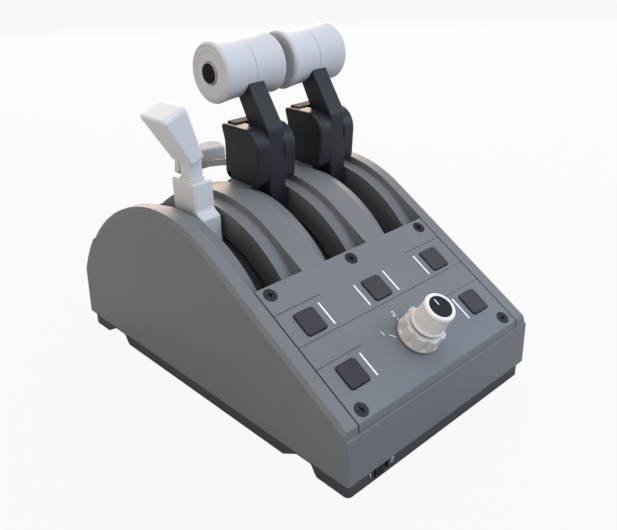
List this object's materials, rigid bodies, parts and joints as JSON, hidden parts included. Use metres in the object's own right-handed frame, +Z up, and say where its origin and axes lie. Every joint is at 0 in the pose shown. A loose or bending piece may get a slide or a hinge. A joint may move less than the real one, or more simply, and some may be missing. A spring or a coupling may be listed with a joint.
{
  "type": "throttle quadrant",
  "caption": "Desktop throttle quadrant: sloping control panel with push buttons and a dual knob, twin throttle levers with reverser levers, and a speed brake lever.",
  "frame": {"origin": "on the desk plane under the centre of the quadrant's bounding box", "axes": "+X to the pilot's right, +Y away from the pilot (towards the rear cover), +Z up"},
  "size_m": [0.16, 0.26, 0.2027],
  "materials": {
    "shell_grey": "fine moulded grain",
    "panel_grey": "fine moulded grain",
    "base_black": "moulded grain",
    "lever_dark": "soft-touch",
    "drum_black": "plain",
    "grip_white": "satin",
    "button_grey": "dimpled",
    "switch_black": "plain",
    "bezel_metal": "turned",
    "screw_black": "blackened steel",
    "steel": "ground",
    "brass": "machined",
    "rubber": "matte",
    "board_green": "solder mask",
    "paddle_grey": "satin"
  },
  "bodies": {
    "quadrant_base": {"housing": "shell_grey", "rear_cover": "shell_grey", "control_panel": "panel_grey", "panel_screws": "screw_black", "panel_board": "board_green", "panel_switches": "switch_black", "encoder_body": "switch_black", "base_plate": "base_black", "base_feet": "rubber", "base_screws": "screw_black", "mount_inserts": "brass", "selector_switch": "switch_black", "usb_socket": "steel", "main_board": "board_green", "ballast_plate": "steel", "axle_supports": "drum_black", "axle_bushes": "brass", "lever_axle": "steel", "friction_washers": "steel", "sensor_boards": "board_green"},
    "engine_selector": {"engine_selector": "switch_black"},
    "panel_button_1": {"panel_button_1": "button_grey"},
    "panel_button_2": {"panel_button_2": "button_grey"},
    "panel_button_3": {"panel_button_3": "button_grey"},
    "panel_button_4": {"panel_button_4": "button_grey"},
    "panel_button_5": {"panel_button_5": "button_grey"},
    "knob_ring": {"knob_ring": "grip_white"},
    "knob_shaft": {"knob_spindle": "steel"},
    "knob_dial": {"knob_dial": "grip_white", "knob_cap": "switch_black"},
    "speedbrake": {"speedbrake_stem": "grip_white", "speedbrake_head": "grip_white", "speedbrake_drum": "drum_black", "speedbrake_magnet": "steel"},
    "throttle_left": {"left_throttle_arm": "lever_dark", "left_drum": "drum_black", "left_magnet": "steel", "left_grip_outer": "grip_white", "left_grip_inner": "grip_white", "left_grip_cap": "grip_white", "left_grip_plug": "grip_white", "left_thumb_bezel": "bezel_metal", "left_thumb_switch": "switch_black", "left_reverser_pin": "steel"},
    "thumb_left": {"left_thumb_button": "switch_black"},
    "reverser_left": {"left_reverser_lever": "lever_dark", "left_reverser_paddle": "paddle_grey"},
    "throttle_right": {"right_throttle_arm": "lever_dark", "right_drum": "drum_black", "right_magnet": "steel", "right_grip_outer": "grip_white", "right_grip_inner": "grip_white", "right_grip_cap": "grip_white", "right_grip_plug": "grip_white", "right_thumb_bezel": "bezel_metal", "right_thumb_switch": "switch_black", "right_reverser_pin": "steel"},
    "thumb_right": {"right_thumb_button": "switch_black"},
    "reverser_right": {"right_reverser_lever": "lever_dark", "right_reverser_paddle": "paddle_grey"}
  },
  "joints": [
    {"name": "engine_selector", "type": "slide", "parent": "quadrant_base", "child": "engine_selector", "axis": [1, 0, 0], "range_m": [0, 0.0038]},
    {"name": "panel_button_1_press", "type": "slide", "parent": "quadrant_base", "child": "panel_button_1", "axis": [0, 0.5135, -0.8581], "range_m": [0, 0.0012], "stiffness_N_per_m": 900, "springref_m": -0.0005},
    {"name": "panel_button_2_press", "type": "slide", "parent": "quadrant_base", "child": "panel_button_2", "axis": [0, 0.5135, -0.8581], "range_m": [0, 0.0012], "stiffness_N_per_m": 900, "springref_m": -0.0005},
    {"name": "panel_button_3_press", "type": "slide", "parent": "quadrant_base", "child": "panel_button_3", "axis": [0, 0.5135, -0.8581], "range_m": [0, 0.0012], "stiffness_N_per_m": 900, "springref_m": -0.0005},
    {"name": "panel_button_4_press", "type": "slide", "parent": "quadrant_base", "child": "panel_button_4", "axis": [0, 0.5135, -0.8581], "range_m": [0, 0.0012], "stiffness_N_per_m": 900, "springref_m": -0.0005},
    {"name": "panel_button_5_press", "type": "slide", "parent": "quadrant_base", "child": "panel_button_5", "axis": [0, 0.5135, -0.8581], "range_m": [0, 0.0012], "stiffness_N_per_m": 900, "springref_m": -0.0005},
    {"name": "knob_ring_turn", "type": "hinge", "parent": "quadrant_base", "child": "knob_ring", "pos_m": [0, -0.10752, 0.0555], "axis": [0, -0.5135, 0.8581], "range_deg": [0, 48.6]},
    {"name": "knob_push", "type": "slide", "parent": "quadrant_base", "child": "knob_shaft", "axis": [0, 0.5135, -0.8581], "range_m": [0, 0.0008], "stiffness_N_per_m": 1500, "springref_m": -0.0005},
    {"name": "knob_dial_turn", "type": "hinge", "parent": "knob_shaft", "child": "knob_dial", "pos_m": [0, -0.10752, 0.0555], "axis": [0, -0.5135, 0.8581], "continuous": true},
    {"name": "speedbrake_lever", "type": "hinge", "parent": "quadrant_base", "child": "speedbrake", "pos_m": [0, 0.0205, 0.0277], "axis": [1, 0, 0], "range_deg": [-30, 30]},
    {"name": "throttle_left", "type": "hinge", "parent": "quadrant_base", "child": "throttle_left", "pos_m": [0, 0.0205, 0.0277], "axis": [1, 0, 0], "range_deg": [-30, 30]},
    {"name": "thumb_button_left", "type": "slide", "parent": "throttle_left", "child": "thumb_left", "axis": [1, 0, 0], "range_m": [0, 0.0015], "stiffness_N_per_m": 800, "springref_m": -0.0005},
    {"name": "reverser_left", "type": "hinge", "parent": "throttle_left", "child": "reverser_left", "pos_m": [0, 0.0343, 0.1211], "axis": [1, 0, 0], "range_deg": [0, 60]},
    {"name": "throttle_right", "type": "hinge", "parent": "quadrant_base", "child": "throttle_right", "pos_m": [0, 0.0205, 0.0277], "axis": [1, 0, 0], "range_deg": [-30, 30]},
    {"name": "thumb_button_right", "type": "slide", "parent": "throttle_right", "child": "thumb_right", "axis": [-1, 0, 0], "range_m": [0, 0.0015], "stiffness_N_per_m": 800, "springref_m": -0.0005},
    {"name": "reverser_right", "type": "hinge", "parent": "throttle_right", "child": "reverser_right", "pos_m": [0, 0.0343, 0.1211], "axis": [1, 0, 0], "range_deg": [0, 60]}
  ]
}
